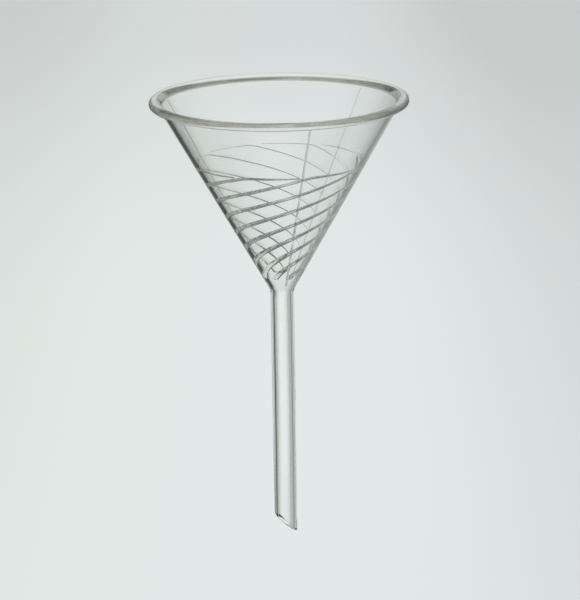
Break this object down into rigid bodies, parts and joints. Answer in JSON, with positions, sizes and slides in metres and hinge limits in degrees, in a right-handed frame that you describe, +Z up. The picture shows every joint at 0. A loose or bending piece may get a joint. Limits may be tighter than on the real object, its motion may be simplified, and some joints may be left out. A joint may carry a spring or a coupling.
{
  "type": "filter funnel",
  "caption": "Clear glass laboratory filter funnel: a wide cone with spiral ribs inside, a beaded rim and a long stem cut at a slant.",
  "frame": {"origin": "on the funnel's axis at the throat, where the outside of the cone would meet the outside of the stem", "axes": "+Z up the axis to the mouth, -Z down the stem; +X towards the long side of the slanted tip; -Y towards the viewer"},
  "size_m": [0.1, 0.1, 0.1765],
  "materials": {
    "clear_glass": "clear, pressed in a polished mould, faintly grey-green through the thickness",
    "bead_glass": "clear, fire-polished, with bright reflections along the bead",
    "rib_glass": "clear, pressed, ridges with one steep and one gentle flank that read as grey lines",
    "seam_glass": "clear, fine raised mould line",
    "stem_glass": "clear drawn tube, smooth, fire-polished tip"
  },
  "bodies": {
    "root": {"bowl": "clear_glass", "rim_bead": "bead_glass", "spiral_rib_1": "rib_glass", "spiral_rib_2": "rib_glass", "spiral_rib_3": "rib_glass", "spiral_rib_4": "rib_glass", "spiral_rib_5": "rib_glass", "spiral_rib_6": "rib_glass", "spiral_rib_7": "rib_glass", "spiral_rib_8": "rib_glass", "mould_seam_1": "seam_glass", "mould_seam_2": "seam_glass", "mould_seam_3": "seam_glass", "throat_seal": "clear_glass", "stem": "stem_glass"}
  },
  "joints": []
}
